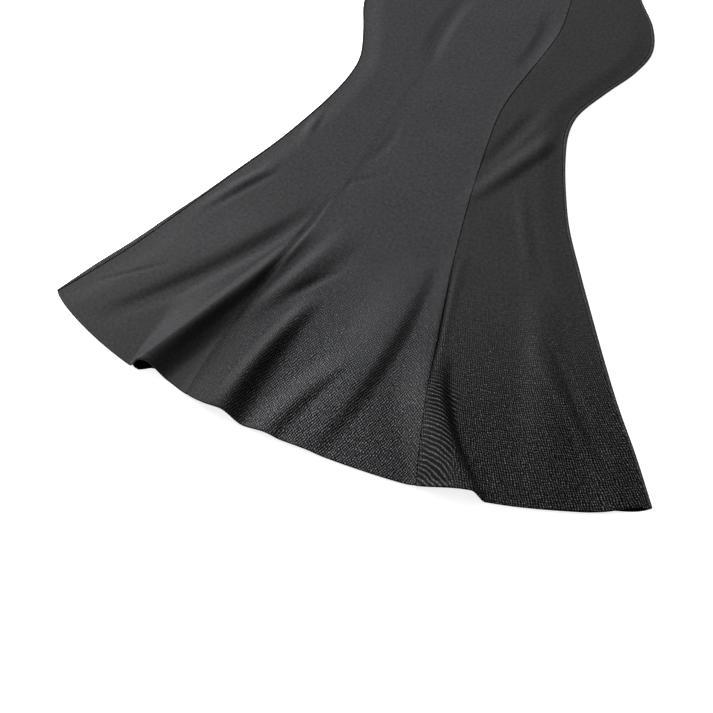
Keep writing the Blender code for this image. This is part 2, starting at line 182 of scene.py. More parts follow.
# Finer valleys, ridges and wrinkles, which only the shells have
CREASES = (
    Fold("left_seam_valley", (-0.158, 0.095), (-0.142, 0.195), (-0.130, 0.285),
         (-0.0006, -0.0030, -0.0006), (0.012, 0.009), (0.009, 0.006)),
    Fold("right_seam_valley", (0.106, 0.050), (0.090, 0.135), (0.071, 0.240),
         (-0.0006, -0.0018, -0.0006), (0.008, 0.008), (0.006, 0.006)),
    Fold("upper_valley", (-0.112, 0.112), (-0.089, 0.148), (-0.063, 0.183),
         (-0.0005, -0.0022, -0.0005), (0.016, 0.014), (0.012, 0.010)),
    Fold("right_corner_ridge", (0.338, 0.004), (0.272, 0.078), (0.208, 0.146),
         (0.0014, 0.0026, 0.0008), (0.020, 0.016), (0.016, 0.014)),
    Fold("right_gore_ridge", (0.166, 0.270), (0.140, 0.330), (0.110, 0.405),
         (0.0004, 0.0014, 0.0004), (0.016, 0.014), (0.016, 0.014)),
    Fold("seam_wrinkle", (-0.116, 0.333), (-0.096, 0.347), (-0.074, 0.363),
         (-0.0006, -0.0016, -0.0003), (0.008, 0.006), (0.006, 0.005)),
    Fold("knee_wrinkle", (-0.108, 0.378), (-0.095, 0.420), (-0.094, 0.465),
         (-0.0003, -0.0009, -0.0003), (0.012, 0.010), (0.012, 0.010)),
    Fold("edge_valley_low", (-0.362, 0.040), (-0.325, 0.070), (-0.283, 0.103),
         (-0.0003, -0.0012, -0.0003), (0.012, 0.010), (0.010, 0.008)),
    Fold("edge_ridge_high", (-0.298, 0.206), (-0.268, 0.261), (-0.234, 0.315),
         (0.0010, 0.0048, 0.0010), (0.014, 0.014), (0.019, 0.018)),
    Fold("edge_valley_high", (-0.280, 0.206), (-0.250, 0.261), (-0.216, 0.315),
         (-0.0003, -0.0010, -0.0003), (0.016, 0.014), (0.012, 0.010)),
    Fold("edge_ridge_top", (-0.212, 0.400), (-0.214, 0.425), (-0.216, 0.455),
         (0.0010, 0.0070, 0.0040), (0.012, 0.012), (0.014, 0.014)),
)

# Sewing. step: share of the seam step by which a gore's edge stands up. edge: how far its edge is rounded.
Seam = namedtuple("Seam", "step edge")
SIDE_SEAM = Seam(0.0, 0.0010)
PROUD_LEFT = Seam(1.1, 0.0012)       # the centre gore's two edges
PROUD_RIGHT = Seam(1.0, 0.0008)
LOW_LEFT = Seam(0.4, 0.0003)         # and the edges of its neighbours
LOW_RIGHT = Seam(0.0, 0.0006)
THIN_EDGE = 0.2          # share of a wall's thickness that is left at a rounded edge
BACK_EDGE = 0.0011       # rounding of the back gores' seams and of their strips' free edges
BACK_EDGE_SHARE = 0.6    # share of it that is taken off the undersides at the seams
BAND_EDGE = 0.0014       # rounding of the waistband's edges
PUCKER = 0.00012         # half the height of the small waves in the strips and the waistband
STRIP_PUCKER = 0.0090    # length of the waves in the strips, over two pi
STRIP_PUCKER_FADE = 0.003    # from the strips' free edges, where they begin
BAND_PUCKER = 0.0035     # length of the waves in the waistband, over two pi
BAND_PUCKER_FADE = 0.012     # from its lower edge to where they end

# The hem
HEM_EDGE = 0.0011        # rounding of its fold
HEM_LINE_UP = 0.0070     # its stitches lie this far over its edge
HEM_LINE_REACH = 0.0011  # and draw the cloth in over this distance above and below them
STITCH = 0.0065          # from one stitch to the next
STITCH_WAVE = 0.25       # share of the hem line's depth that comes and goes from stitch to stitch
TURNED_WALL = 0.0009     # thickness that the turned-in cloth adds inside
TURNED_CLEARANCE = 0.0004    # it shows only where the gore stands off the back by more than this
TURNED_EDGE = 0.0015     # its upper edge thins out over this length

# The lit flank of the right flute, where the ribs are stretched and carry painted highlights: its middle line
# and half its width
FLANK = ((0.155, -0.075), (0.117, 0.080))
FLANK_REACH = 0.026
FLANK_FADE = 0.25        # share of its length over which the ribs fade out at its upper end
ARC_CENTRE = (0.1145, -0.5870, 0.0)  # the flank's ribs lie in arcs round this place
ARC_TURN = math.radians(-22)         # which are drawn out at this angle,
ARC_SQUASH = 0.81        # as distances across it count for only so much
GORE_WIDTH = 0.25        # of a front gore at the hem, over which its ribs fan out

# Fineness of the shells
EDGE_STEPS = (0.0, 0.0002, 0.0005, 0.0009, 0.0015, 0.0024)     # distances of the columns next to a seam
HEM_STEPS = (0.0, 0.0003, 0.0008, 0.0015, 0.0026, 0.0038)      # heights of the rows next to the hem
HEM_LINE_STEPS = (0.0052, 0.0062, 0.0070, 0.0078, 0.0088)      # and along the line of the hem's stitches
FRONT_START = 0.0108     # height of the first of a front gore's plain rows
FRONT_ROWS = 190
BACK_START = 0.006       # and of a back gore's
BACK_ROWS = 90
ROW_CROWDING = 1.25      # over 1 puts more rows near the hem
SIDE_COLUMNS = 120
CENTRE_COLUMNS = 150
BACK_COLUMNS = 40
STRIP_COLUMNS = 8
STRIP_CROWDING = 1.8     # over 1 puts more of a strip's columns near its free edge
BEND_STEPS = 10
BAND_ROWS = 16
BAND_COLUMNS = 120


class SkirtSizes(bpy.types.PropertyGroup):
    seam_step: FloatProperty(
        name="Seam step",
        description="How far the centre gore stands proud of its neighbours, on the pressed seam allowances",
        default=0.0009, min=0.0, max=0.002, precision=4, unit="LENGTH",
    )
    allowance: FloatProperty(
        name="Seam allowance",
        description="Distance from a seam over which the cloth sinks back from the pressed allowances",
        default=0.007, min=0.002, max=0.02, precision=4, unit="LENGTH",
    )
    hem_line: FloatProperty(
        name="Hem line depth",
        description="Depth of the row of blind stitches that holds the narrow hem",
        default=0.00028, min=0.0, max=0.001, precision=5, unit="LENGTH",
    )
    hem_turning: FloatProperty(
        name="Hem turning",
        description="Height of the hem's turned-in cloth on the inside",
        default=0.018, min=0.005, max=0.04, precision=4, unit="LENGTH",
    )
    stretched_rib: FloatProperty(
        name="Stretched rib",
        description="Distance between the clear ribs on the lit flank of the right flute",
        default=0.0046, min=0.0005, max=0.008, precision=4, unit="LENGTH",
    )


class SkirtColours(bpy.types.PropertyGroup):
    cloth: FloatVectorProperty(
        name="Cloth",
        description="Colour of the charcoal twill on the centre and left gores",
        default=(0.0192, 0.0193, 0.0204), min=0.0, max=1.0, size=3, subtype="COLOR",
    )
    # Painted shade: the right gore's colour is made darker to stand for the weaker sheen that its nap gives
    # under this light.
    right_cloth: FloatVectorProperty(
        name="Right gore",
        description="Colour of the right front gore, whose nap runs the other way and looks darker",
        default=(0.0152, 0.0152, 0.0155), min=0.0, max=1.0, size=3, subtype="COLOR",
    )
    # Painted shade: the wrong side is coloured very dark because it shows only in shaded hollows and flutes'
    # mouths.
    inside: FloatVectorProperty(
        name="Inside",
        description="Colour of the twill's wrong side",
        default=(0.0090, 0.0090, 0.0096), min=0.0, max=1.0, size=3, subtype="COLOR",
    )
    table: FloatVectorProperty(
        name="Table",
        description="Colour of the white table",
        default=(0.92, 0.92, 0.92), min=0.0, max=1.0, size=3, subtype="COLOR",
    )


class SkirtStage(bpy.types.PropertyGroup):
    focal_length: FloatProperty(
        name="Focal length",
        description="Lens of the camera, in millimetres on a 36 mm sensor",
        default=60.6, min=20.0, max=200.0,
    )
    azimuth: FloatProperty(
        name="Azimuth",
        description="How far the camera stands round to the right of straight before the hem",
        default=math.radians(22), subtype="ANGLE",
    )
    elevation: FloatProperty(
        name="Elevation",
        description="Angle at which the camera looks down",
        default=math.radians(54), subtype="ANGLE",
    )
    camera_place: FloatVectorProperty(
        name="Camera place",
        description="Where the camera stands",
        default=(0.33540, -1.17905, 1.22015), size=3, subtype="TRANSLATION", unit="LENGTH",
    )
    key_power: FloatProperty(
        name="Key light",
        description="Power of the large soft light at the left of the skirt, in watts",
        default=710.0, min=0.0,
    )
    fill_strength: FloatProperty(
        name="Fill",
        description="Strength of the light from all around",
        default=0.26, min=0.0,
    )
    table_glow: FloatProperty(
        name="Table glow",
        description="Light from the table's own white surface, which keeps it free of shadows",
        default=0.78, min=0.0,
    )


def curve_through(knots, values, at):
    """Values at an array of knot positions of a smooth curve through the table's values."""
    knots = np.array(knots)
    values = np.array(values)
    at = np.clip(at, knots[0], knots[-1])
    k = np.clip(np.searchsorted(knots, at, side="right") - 1, 0, len(knots) - 2)
    order = np.arange(len(knots))
    below = np.maximum(order - 1, 0)
    above = np.minimum(order + 1, len(knots) - 1)
    slopes = (values[above] - values[below]) / (knots[above] - knots[below])
    span = knots[k + 1] - knots[k]
    t = (at - knots[k]) / span
    start = (2 * t ** 3 - 3 * t ** 2 + 1) * values[k] + (t ** 3 - 2 * t ** 2 + t) * span * slopes[k]
    end = (3 * t ** 2 - 2 * t ** 3) * values[k + 1] + (t ** 3 - t ** 2) * span * slopes[k + 1]
    return start + end


def section_at(up):
    """Sections at an array of heights over the hem corners."""
    knots = [s.up for s in SECTIONS]
    return Section(*(curve_through(knots, column, up) for column in zip(*SECTIONS)))


def row_y(section, x):
    """Y of points of rows: the middle of a row hangs below its ends in a round bow."""
    share = (x - section.lean) / section.half
    power = np.where(share < 0, LEFT_BOW_POWER, RIGHT_BOW_POWER)
    reach = np.minimum(np.abs(share), 1)
    hang = section.bow * (1 - (1 - CORNER_SHARE) * reach ** power - CORNER_SHARE * reach ** CORNER_POWER)
    return section.up - hang - section.tilt * share


def side_x(section, side):
    """X of a row's end. Here and below, side is -1 at the left and 1 at the right."""
    return section.lean + side * section.half


def front_side(section, side):
    """X of the side seam, where a front gore meets the strip that rolls over from the back."""
    roll = section.left_roll if side < 0 else section.right_roll
    return side_x(section, side) - side * roll


def front_edges(section):
    """X of the front's left side seam, its two gore seams and its right side seam."""
    seams = section.lean - section.left_seam, section.lean + section.right_seam
    return front_side(section, -1), *seams, front_side(section, 1)


def fade(distance, length):
    """Smooth step from nought to one over a length."""
    t = np.clip(distance / length, 0, 1)
    return t * t * (3 - 2 * t)


def bell(x, middle, left, right):
    """Soft wave of height one over two spreads."""
    reach = np.minimum(np.abs(x - middle) / np.where(x < middle, left, right), 1)
    return 0.5 * (1 + np.cos(math.pi * reach))


def through_three(values, t, m):
    """Quadratic through three values at t = 0, m and 1."""
    low, middle, high = values
    return low * (t - m) * (t - 1) / m + middle * t * (1 - t) / (m * (1 - m)) + high * t * (t - m) / (1 - m)


def fold_height(fold, x, y):
    """Height that one fold adds at points of the front cloth."""
    length = fold.high[1] - fold.low[1]
    m = (fold.middle[1] - fold.low[1]) / length
    t = np.clip((y - fold.low[1]) / length, 0, 1)
    crest_x = through_three((fold.low[0], fold.middle[0], fold.high[0]), t, m)
    left, right = (low + (high - low) * t for low, high in (fold.left, fold.right))
    height = through_three(fold.heights, t, m) * bell(x, crest_x, left, right)
    from_hem = fold.low[1] < HEM_FOLDS_BELOW
    start = 1 if from_hem else fade(y - fold.low[1] + FOLD_FADE, FOLD_FADE)
    end = fade(fold.high[1] + FOLD_FADE - y, FOLD_FADE)
    return height * start * end


def drawn(section, x, cloth):
    """How far the front or the back cloth is drawn in towards the waist, which dies out above the hem."""
    place = SECTIONS[0].half * (x - section.lean) / section.half
    depth = sum(bell(place, d.x, d.left, d.right) * getattr(d, cloth) for d in DRAWS)
    return depth * (1 - fade(section.up, TUCK_LENGTH))


def lift(section, x, y):
    """Height of the front cloth's underside over the place where it would lie flat."""
    from_side = np.minimum(x - front_side(section, -1), front_side(section, 1) - x)
    height = curve_through(*zip(*SWELLS), section.up)
    for fold in FLUTES + CREASES:
        height = height + fold_height(fold, x, y)
    height = 0.5 * (height + np.sqrt(height ** 2 + CONTACT_ROUNDING ** 2))
    return height * fade(from_side, SWELL_EDGE)


def hem_low():
    """Y of the hem's lowest point, out of many along it."""
    hem = section_at(np.zeros(1))
    places = hem.half * np.arange(-100, 101) / 100
    return float(row_y(hem, places).min())


MIDDLE = (hem_low() + WAIST_UP + BAND_HEIGHT) / 2    # the frame's origin is halfway along the skirt


def front_point(section, x):
    """Points of the front cloth's underside."""
    y = row_y(section, x) + drawn(section, x, "front")
    return np.stack([x, y, FRONT_REST + lift(section, x, y)], axis=-1)


def front_normal(up, x):
    """Which way the front cloth faces, from points a small step away on each side."""
    step = 0.001
    higher = section_at(np.minimum(up + step, SECTIONS[-1].up))
    lower = section_at(np.maximum(up - step, SECTIONS[0].up))
    section = section_at(up)
    across = front_point(section, x + step) - front_point(section, x - step)
    along = front_point(higher, x) - front_point(lower, x)
    normal = np.cross(across, along)
    return normal / np.linalg.norm(normal, axis=-1, keepdims=True)


def rounding(distance, radius):
    """Share of the wall's thickness at a distance from a rounded edge."""
    t = np.clip(distance / radius, 0, 1)
    return np.maximum(np.sqrt(1 - (1 - t) ** 2), THIN_EDGE)


def columns_between(left, right, count):
    """X of columns between two edges, with narrow ones next to each edge."""
    steps = np.array(EDGE_STEPS)
    start = left + steps[-1]
    end = right - steps[-1]
    inside = start + (end - start) * np.linspace(0, 1, count)[1:-1]
    return np.concatenate([left + steps, inside, right - steps[::-1]], axis=1)


def gore_rows(close, start, count):
    """Heights of a gore's rows: close ones next to the hem, then plain ones from a start to the waist."""
    top = WAIST_UP - SEAM_GAP
    plain = start + (top - start) * (np.arange(count + 1) / count) ** ROW_CROWDING
    return np.concatenate([np.array(close), plain])[:, None]


def arc_lengths(points):
    """Distance along each row from its middle column."""
    steps = np.linalg.norm(np.diff(points, axis=1), axis=2)
    along = np.concatenate([np.zeros((len(points), 1)), np.cumsum(steps, axis=1)], axis=1)
    return along - along[:, [points.shape[1] // 2]]


def add_map(mesh, name, grids, corners):
    """UV map from two grids, one for each of its axes."""
    flat = np.stack([grid.reshape(-1)[corners] for grid in grids], axis=-1)
    mesh.uv_layers.new(name=name).data.foreach_set("uv", flat.astype(np.float32).reshape(-1))


def shell(name, inner, outer, up, material, ring=False, **maps):
    """Closed wall between two grids of points. A ring's last column joins its first.

    The weave's map gives the distances across and up the piece, as the weave would lie flat.
    """
    rows, columns = inner.shape[:2]
    shift = np.array([0, -MIDDLE, 0])
    points = np.concatenate([(inner + shift).reshape(-1, 3), (outer + shift).reshape(-1, 3)])
    place = np.arange(rows * columns).reshape(rows, columns)
    if ring:
        place = np.concatenate([place, place[:, :1]], axis=1)
    a, b = place[:-1, :-1], place[:-1, 1:]
    d, c = place[1:, :-1], place[1:, 1:]
    out = rows * columns
    faces = [np.stack([a + out, b + out, c + out, d + out], axis=-1), np.stack([a, d, c, b], axis=-1)]
    edges = [(place[0, :-1], place[0, 1:]), (place[-1, 1:], place[-1, :-1])]
    if not ring:
        edges += [(place[1:, 0], place[:-1, 0]), (place[:-1, -1], place[1:, -1])]
    faces += [np.stack([start, end, end + out, start + out], axis=-1) for start, end in edges]
    faces = np.concatenate([f.reshape(-1, 4) for f in faces])
    mesh = bpy.data.meshes.new(name)
    mesh.from_pydata(points.tolist(), [], faces.tolist())
    weave = (arc_lengths(outer), np.broadcast_to(up, outer.shape[:2]))
    for key, grids in {"weave": weave, **maps}.items():
        add_map(mesh, key, grids, faces.reshape(-1) % out)
    mesh.shade_smooth()
    mesh.materials.append(material)
    # the inner faces, seen only in hollows, get the wrong side's dark painted shade
    mesh.materials.append(inside_twill())
    inside = np.zeros(len(faces), dtype=np.int32)
    inside[a.size:2 * a.size] = 1    # the inner grid's faces come second
    mesh.polygons.foreach_set("material_index", inside)
    mesh.update()
    piece = bpy.data.objects.new(name, mesh)
    bpy.context.scene.collection.objects.link(piece)
    return piece


def settle(piece, node):
    """The piece rides on the skirt's one body and stands for its plain solid."""
    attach(piece, "root")
    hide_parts(node)


def flank_map(x, y):
    """How clearly the painted rib highlights show: all on the right flute's lit flank and nowhere else."""
    low, high = FLANK
    t = (y - low[1]) / (high[1] - low[1])
    middle = low[0] + (high[0] - low[0]) * t
    soft = 0.5 * FLANK_REACH
    shown = (1 - fade(np.abs(x - middle) - soft, soft)) * (1 - fade(t - (1 - FLANK_FADE), FLANK_FADE))
    return shown, 0 * shown


def front_gore(name, place, columns, seams, material):
    """One of the three front gores. Its place, counted from the left, is 0, 1 or 2."""
    sizes = bpy.context.scene.skirt_sizes
    up = gore_rows(HEM_STEPS + HEM_LINE_STEPS, FRONT_START, FRONT_ROWS)
    section = section_at(up)
    left, right = front_edges(section)[place:place + 2]
    x = columns_between(left, right, columns)
    inner = front_point(section, x)
    normal = front_normal(up, x)
    height = inner[..., 2] - FRONT_REST

    thickness = WALL * rounding(up, HEM_EDGE)
    for seam, distance in zip(seams, (x - left, right - x)):
        inner[..., 2] += seam.step * sizes.seam_step * np.exp(-distance / sizes.allowance)
        thickness = thickness * rounding(distance, seam.edge)
    stitches = 1 - STITCH_WAVE + STITCH_WAVE * np.sin(2 * math.pi * x / STITCH)
    line = sizes.hem_line * np.exp(-(((up - HEM_LINE_UP) / HEM_LINE_REACH) ** 2)) * stitches
    outer = inner + normal * (thickness - line)[..., None]

    turned = np.clip(height - TURNED_CLEARANCE, 0, TURNED_WALL)
    turned = turned * (1 - fade(up - sizes.hem_turning, TURNED_EDGE))
    inner = inner - normal * turned[..., None]
    for grid in (inner, outer):
        grid[:, 0, 0] += SEAM_GAP / 2
        grid[:, -1, 0] -= SEAM_GAP / 2
    ribs = (GORE_WIDTH * ((x - left) / (right - left)), np.broadcast_to(up, x.shape))
    return shell(name, inner, outer, up, material, ribs=ribs, flank=flank_map(x, outer[..., 1]))


def back_seam(section):
    """Distance of the back gore seams from the middle, the same on both sides."""
    return (section.left_seam + section.right_seam) / 2


def back_point(section, x, z):
    """Points of the back cloth. Its hem lies a little behind the front hem, and wholly under two flutes."""
    y = row_y(section, x) + drawn(section, x, "back")
    tuck = BACK_HEM_TUCK + sum(fold_height(f, x, y) for f in FLUTES if f.name in TUCKING_FLUTES)
    y = y + tuck * (1 - fade(section.up, TUCK_LENGTH))
    return np.stack([x, y, z + 0 * x], axis=-1)


def thinning(wall, distance, radius):
    """How far each face of a wall draws back at a distance from a rounded edge."""
    return wall * (1 - rounding(distance, radius)) / 2


def back_underside(from_seam):
    """Height of the back cloth's lower face, which is rounded at the seams."""
    return WALL * (1 - rounding(from_seam, BACK_EDGE)) * BACK_EDGE_SHARE


def puckered(along, length):
    """Small waves along a sewn edge."""
    return PUCKER * (1 + np.sin(along / length))


def back_side_gore(name, side, material):
    """A side gore of the back: flat on the table, then rolled over the side onto the top."""
    up = gore_rows(HEM_STEPS, BACK_START, BACK_ROWS)
    section = section_at(up)
    outer_radius = WALL + LAYER_GAP / 2
    inner_radius = LAYER_GAP / 2
    seam = section.lean + side * (back_seam(section) + BACK_SEAM_GAP / 2)
    centre = side_x(section, side) - side * outer_radius
    soft = thinning(WALL, up, HEM_EDGE)

    flat = seam + (centre - seam) * np.linspace(0, 1, BACK_COLUMNS)[None, :-1]
    inner = [back_point(section, flat, WALL - soft)]
    outer = [back_point(section, flat, back_underside(np.abs(flat - seam)) + soft)]
    for k in range(BEND_STEPS + 1):
        angle = math.pi * (k / BEND_STEPS - 0.5)
        for radius, grid in ((inner_radius + soft, inner), (outer_radius - soft, outer)):
            x = centre + side * radius * math.cos(angle)
            grid.append(back_point(section, x, outer_radius + radius * math.sin(angle)))
    end = front_side(section, side) + side * SEAM_GAP / 2
    share = 1 - (1 - np.linspace(0, 1, STRIP_COLUMNS + 1)[None, 1:]) ** STRIP_CROWDING
    strip = centre + (end - centre) * share
    from_end = np.abs(strip - end)
    waves = puckered(section.up, STRIP_PUCKER) * fade(from_end, STRIP_PUCKER_FADE)
    inner.append(back_point(section, strip, outer_radius + inner_radius + waves + soft))
    top = outer_radius + inner_radius + WALL * rounding(from_end, BACK_EDGE)
    outer.append(back_point(section, strip, top + waves - soft))
    inner, outer = (np.concatenate(grid, axis=1) for grid in (inner, outer))
    if side < 0:
        inner, outer = inner[:, ::-1], outer[:, ::-1]
    return shell(name, inner, outer, up, material)


def back_centre_gore(name, material):
    """The middle gore of the back, flat on the table. It faces down, so its columns run to the left."""
    up = gore_rows(HEM_STEPS, BACK_START, BACK_ROWS)
    section = section_at(up)
    reach = back_seam(section) - BACK_SEAM_GAP / 2
    left = section.lean - reach
    right = section.lean + reach
    x = columns_between(left, right, 2 * BACK_COLUMNS)
    soft = thinning(WALL, up, HEM_EDGE)
    lower = back_underside(np.minimum(x - left, right - x))
    inner = back_point(section, x, WALL - soft)[:, ::-1]
    outer = back_point(section, x, lower + soft)[:, ::-1]
    return shell(name, inner, outer, up, material)


def band_point(section, x, z):
    return np.stack([x, row_y(section, x), z + 0 * x], axis=-1)


def waistband(name, material):
    """Flattened ring of folded cloth, a little puckered along its lower edge."""
    outer_radius = BAND_WALL + BAND_GAP / 2
    inner_radius = BAND_GAP / 2
    share = np.linspace(0, 1, BAND_ROWS + 1)[:, None]
    up = WAIST_UP + BAND_HEIGHT * (0.5 - 0.5 * np.cos(math.pi * share))
    section = section_at(up)
    from_edge = np.minimum(up - WAIST_UP, WAIST_UP + BAND_HEIGHT - up)
    thin = thinning(BAND_WALL, from_edge, BAND_EDGE)
    grids = ([], [])
    for side in (1, -1):
        centre = side_x(section, side) - side * outer_radius
        for k in range(BEND_STEPS + 1):
            angle = side * math.pi * (k / BEND_STEPS - 0.5)
            for radius, grid in ((inner_radius + thin, grids[0]), (outer_radius - thin, grids[1])):
                x = centre + side * radius * math.cos(angle)
                grid.append(band_point(section, x, outer_radius + radius * math.sin(angle)))
        far = side_x(section, -side) + side * outer_radius
        across = centre + (far - centre) * np.linspace(0, 1, BAND_COLUMNS)[None, 1:-1]
        waves = puckered(across, BAND_PUCKER) * (1 - fade(up - WAIST_UP, BAND_PUCKER_FADE))
        for radius, grid in ((inner_radius + thin, grids[0]), (outer_radius - thin - waves, grids[1])):
            grid.append(band_point(section, across, outer_radius + side * radius))
    inner, outer = (np.concatenate(grid, axis=1) for grid in grids)
    return shell(name, inner, outer, up, material, ring=True)


# Looks of the cloth
FLOAT_TURN = math.radians(80)    # the yarns' floats cross the ribs at this angle
YARN_RELIEF = 0.00006    # height of the yarns
CREST_LIMIT = 1.3        # the yarns' crests, from nought up, are cut off here
ARC_SHARPNESS = 5.0      # how narrow the painted highlights on the stretched ribs' crests are
ARC_LIGHT = 4.06         # what brings their mean back to one
ARC_SPECKS = 0.3         # share of their light that varies with the plain weave
PLAIN_SHADE = 0.22       # part of the cloth's shade that is the same all over
INSIDE_PLAIN_SHADE = 0.1     # and of its wrong side's
TABLE_PALER = 1.02       # how much lighter than its colour the table gets

# Soft random unevenness. scale: patches to a metre. detail, roughness: how many finer sizes are added and
# how strongly. strength: of it all.
Uneven = namedtuple("Uneven", "scale detail roughness strength")
RIB_WANDER = Uneven(95.0, 3.0, 0.5, 13.0)      # of the ribs' phase
FLOAT_DRIFT = Uneven(133.0, 3.0, 0.5, 14.0)    # of the floats' phase
ARC_BEND = Uneven(50.0, 3.0, 0.5, 9.0)         # of the stretched ribs' phase
YARN_SPECKS = Uneven(420.0, 1.0, 0.6, 1.0)     # of the crests, where each weave has its own strength
FUZZ = Uneven(220.0, 2.0, 0.6, 1.30)           # of the cloth's shade, fine
MOTTLE = Uneven(16.0, 3.0, 0.5, 0.26)          # and coarse
INSIDE_FUZZ = Uneven(500.0, 2.0, 0.5, 0.5)     # of its wrong side's shade
TABLE_CLOUD = Uneven(1.5, 2.0, 0.5, 1.0)       # of the table's colour


class NodeTree:
    """A material's nodes, made and joined one line at a time."""

    def __init__(self, name):
        self.material = bpy.data.materials.new(name)
        self.material.use_nodes = True
        self.tree = self.material.node_tree
        self.shader = self.tree.nodes["Principled BSDF"]

    def set(self, socket, value):
        if isinstance(value, bpy.types.NodeSocket):
            self.tree.links.new(value, socket)
        else:
            socket.default_value = value

    def node(self, kind, settings=None, **inputs):
        """A new node. Each input goes by its name, or by the letter i and its number."""
        made = self.tree.nodes.new(kind)
        for key, value in (settings or {}).items():
            setattr(made, key, value)
        for key, value in inputs.items():
            self.set(made.inputs[int(key[1:]) if key[0] == "i" else key], value)
        return made

    def math(self, operation, first, second=0.0, third=0.0):
        made = self.node("ShaderNodeMath", {"operation": operation}, i0=first, i1=second, i2=third)
        return made.outputs[0]

    def between(self, start, end, share):
        """A share of the way from start to end."""
        return self.math("MULTIPLY_ADD", self.math("SUBTRACT", end, start), share, start)

    def uv(self, name):
        return self.node("ShaderNodeUVMap", {"uv_map": name}).outputs["UV"]

    def axis(self, vector, letter):
        return self.node("ShaderNodeSeparateXYZ", Vector=vector).outputs[letter]

    def uneven(self, vector, how, base=0.0):
        """Soft random unevenness, added to a base."""
        noise = self.node(
            "ShaderNodeTexNoise", {"noise_dimensions": "3D"},
            Vector=vector, Scale=how.scale, Detail=how.detail, Roughness=how.roughness,
        )
        return self.math("MULTIPLY_ADD", noise.outputs["Fac"], how.strength, base)

    def mapped(self, vector, angle, scale):
        made = self.node("ShaderNodeMapping", Vector=vector, Rotation=(0.0, 0.0, angle), Scale=scale)
        return made.outputs["Vector"]

    def waves(self, vector, angle, spacing, wander):
        """Sine across ribs that lie at an angle, led astray by a wandering phase."""
        turned = self.mapped(vector, -angle, (1.0, 1.0, 1.0))
        phase = self.math("MULTIPLY_ADD", self.axis(turned, "Y"), 2 * math.pi / spacing, wander)
        return self.math("SINE", phase)

    def ramp(self, value, low, high, start, end):
        """Soft step from start to end while the value goes from low to high."""
        made = self.node(
            "ShaderNodeMapRange", {"interpolation_type": "SMOOTHSTEP"},
            Value=value, i1=low, i2=high, i3=start, i4=end,
        )
        return made.outputs["Result"]

    def paint(self, colour, shade):
        """Base colour, made lighter and darker by a shade."""
        painted = self.node("ShaderNodeVectorMath", {"operation": "SCALE"}, i0=tuple(colour), Scale=shade)
        self.set(self.shader.inputs["Base Color"], painted.outputs["Vector"])

    def surface(self, values):
        """Plain values of the shader's sockets, by their names."""
        for key, value in values.items():
            self.shader.inputs[key].default_value = value


# How one gore's weave shows. rib_map: the UV map its ribs follow. slope: of the ribs against the weft, in
# degrees. rib: from one rib to the next. rib_share: of the ribs against the floats that cross them.
# specks: how uneven the yarns are. spark: how sharply their crests stand out, as grain and as painted glints
# in
# the base colour, and level: the mean of what that leaves. quiet, clear: how strongly all this shows high up
# and
# near the hem. low, high: heights over the hem between which that changes.
Weave = namedtuple("Weave", "rib_map slope rib rib_share specks spark level quiet clear low high")
SIDE_WEAVE = Weave("weave", 58, 0.0027, 0.60, 0.8, 4, 0.184, 0.09, 0.12, 0.00, 0.30)
CENTRE_WEAVE = SIDE_WEAVE._replace(quiet=0.10, clear=1.00, low=0.05, high=0.33)
RIGHT_WEAVE = Weave("ribs", 99, 0.0028, 0.66, 0.7, 5, 0.154, 0.12, 1.00, 0.05, 0.31)
BACK_WEAVE = SIDE_WEAVE._replace(quiet=0.20, clear=0.50, low=0.10, high=0.40)

# How light a gore is. tone: of the whole gore. hem_tone: painted light and shade at its foot, as a share of
# that.
# left_share: how clearly the weave shows at its left edge. left_tone, right_tone: painted shade, how
# light its foot is at the edges, all three as shares of its middle.
Tone = namedtuple("Tone", "colour tone hem_tone left_share left_tone right_tone")
LEFT_TONE = Tone("cloth", 0.90, 0.88, 1.0, 1.0, 0.80)
CENTRE_TONE = Tone("cloth", 1.0, 1.24, 0.45, 0.37, 0.66)
RIGHT_TONE = Tone("right_cloth", 1.0, 0.69, 1.0, 1.0, 1.0)
EVEN_TONE = Tone("cloth", 1.0, 1.0, 1.0, 1.0, 1.0)


def yarn_crests(n, uv, weave):
    """How high the yarns stand, from the ribs, the floats that cross them and random specks."""
    ribs_uv = n.uv(weave.rib_map)
    slope = math.radians(weave.slope)
    ribs = n.waves(ribs_uv, slope, weave.rib, n.uneven(uv, RIB_WANDER))
    floats = n.waves(ribs_uv, slope + FLOAT_TURN, weave.rib, n.uneven(uv, FLOAT_DRIFT))
    crests = n.math("MULTIPLY_ADD", ribs, 0.5 * weave.rib_share, 0.5 - 0.5 * weave.specks)
    crests = n.math("MULTIPLY_ADD", floats, 0.5 - 0.5 * weave.rib_share, crests)
    crests = n.uneven(uv, YARN_SPECKS._replace(strength=weave.specks), crests)
    return n.math("MINIMUM", n.math("MAXIMUM", crests, 0.0), CREST_LIMIT)


def painted_rib_highlights(n, uv, scatter):
    """The yarns' grain and painted glints, with bright arcs of painted highlights on the stretched ribs of
    the right flute's lit flank.
    """
    place = n.node("ShaderNodeTexCoord").outputs["Object"]
    away = n.node("ShaderNodeVectorMath", {"operation": "SUBTRACT"}, i0=place, i1=ARC_CENTRE)
    seen = n.mapped(away.outputs["Vector"], ARC_TURN, (1.0, ARC_SQUASH, 0.0))
    radius = n.node("ShaderNodeVectorMath", {"operation": "LENGTH"}, i0=seen).outputs["Value"]
    turns = 2 * math.pi / bpy.context.scene.skirt_sizes.stretched_rib
    wave = n.math("SINE", n.math("MULTIPLY_ADD", radius, turns, n.uneven(uv, ARC_BEND)))
    arcs = n.math("POWER", n.math("MULTIPLY_ADD", wave, 0.5, 0.5), ARC_SHARPNESS)
    specks = n.math("MULTIPLY_ADD", scatter, ARC_SPECKS, 1 - ARC_SPECKS)
    stretched = n.math("MULTIPLY", n.math("MULTIPLY", arcs, ARC_LIGHT), specks)
    return n.between(scatter, stretched, n.axis(n.uv("flank"), "X"))


